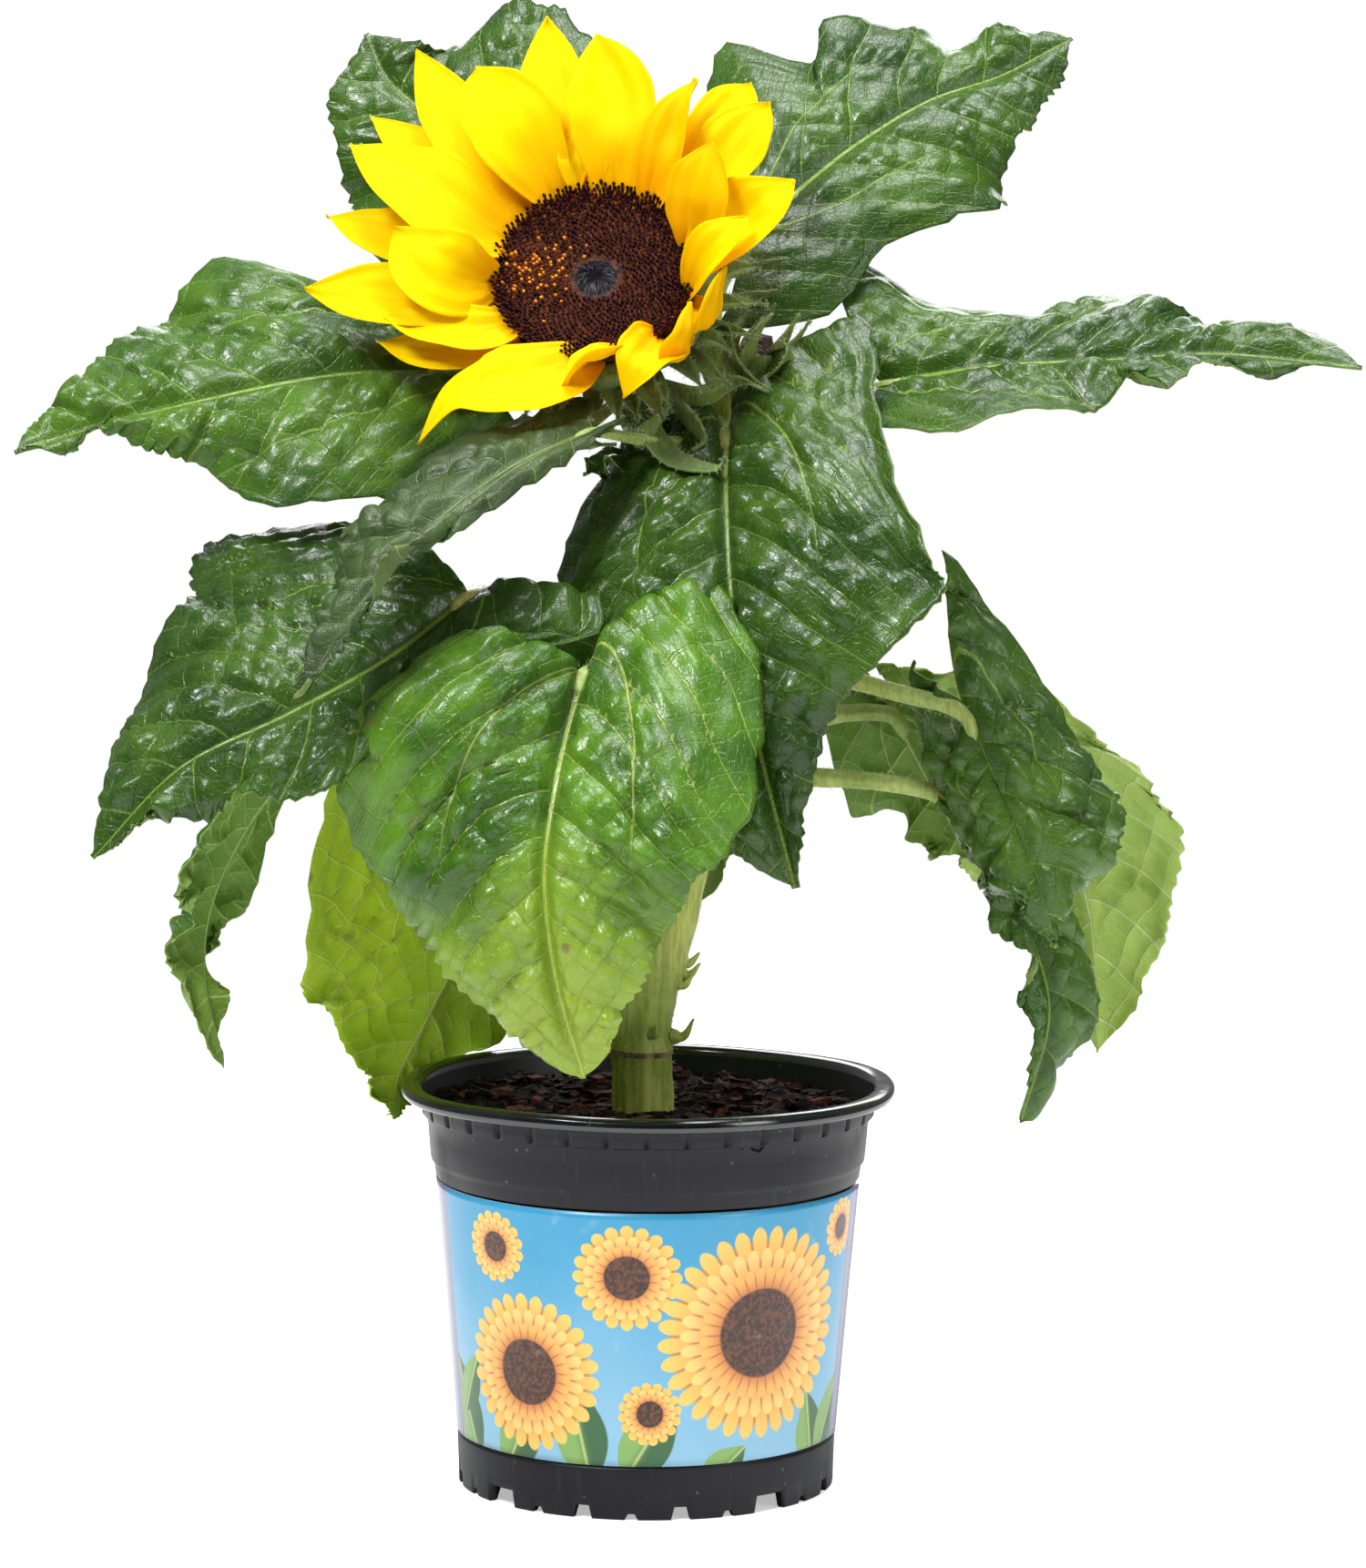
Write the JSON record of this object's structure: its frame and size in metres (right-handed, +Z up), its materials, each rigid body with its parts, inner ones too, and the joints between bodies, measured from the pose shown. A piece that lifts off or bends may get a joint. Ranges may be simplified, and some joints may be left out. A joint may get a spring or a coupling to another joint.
{
  "type": "potted sunflower plant",
  "caption": "Dwarf sunflower plant with one open flower head, big heart-shaped leaves on long stalks and a side bud, rooted in soil in a tapered nursery pot.",
  "frame": {"origin": "centre of the flat boss under the pot, on the floor", "axes": "+Z up the plant, -Y the side that the flower head faces, +X to the right as seen from that side"},
  "size_m": [0.3479, 0.177, 0.3866],
  "materials": {
    "stem": "pale green, softly hairy, satin",
    "stalk": "pale green, softly hairy, satin",
    "leaf": "dark green, puckered and glossy above, paler and matte below",
    "old_leaf": "yellow-green, matte",
    "petal": "bright yellow with fine lengthwise lines, soft satin",
    "disc": "dark maroon florets, matte",
    "bract": "green, hairy, matte",
    "soil": "dark brown compost with bark bits, matte",
    "pot": "charcoal black moulded plastic, satin",
    "label": "printed sleeve of sky, leaves and golden flowers, satin"
  },
  "bodies": {
    "root": {"stem": "stem", "soil": "soil", "receptacle": "bract", "disc": "disc", "pot": "pot", "label": "label", "stalk_back_top": "stalk", "leaf_back_top": "leaf", "stalk_top_right": "stalk", "leaf_top_right": "leaf", "stalk_right": "stalk", "leaf_right": "leaf", "stalk_centre": "stalk", "leaf_centre": "leaf", "stalk_left": "stalk", "leaf_left": "leaf", "stalk_front_low": "stalk", "leaf_front_low": "leaf", "stalk_left_low": "stalk", "leaf_left_low": "leaf", "stalk_left_mid": "stalk", "leaf_left_mid": "leaf", "stalk_right_droop": "stalk", "leaf_right_droop": "leaf", "stalk_right_narrow": "stalk", "leaf_right_narrow": "leaf", "stalk_right_rear": "stalk", "leaf_right_rear": "leaf", "stalk_right_rear_small": "stalk", "leaf_right_rear_small": "leaf", "stalk_left_hanging": "stalk", "leaf_left_hanging": "leaf", "stalk_left_old": "stalk", "leaf_left_old": "old_leaf", "stalk_back": "stalk", "leaf_back": "leaf", "leaf_small": "leaf", "bud": "bract", "petal_01": "petal", "petal_02": "petal", "petal_03": "petal", "petal_04": "petal", "petal_05": "petal", "petal_06": "petal", "petal_07": "petal", "petal_08": "petal", "petal_09": "petal", "petal_10": "petal", "petal_11": "petal", "petal_12": "petal", "petal_13": "petal", "petal_14": "petal", "petal_15": "petal", "petal_16": "petal", "petal_17": "petal", "petal_18": "petal", "petal_19": "petal", "petal_20": "petal", "petal_21": "petal", "petal_22": "petal"}
  },
  "joints": []
}
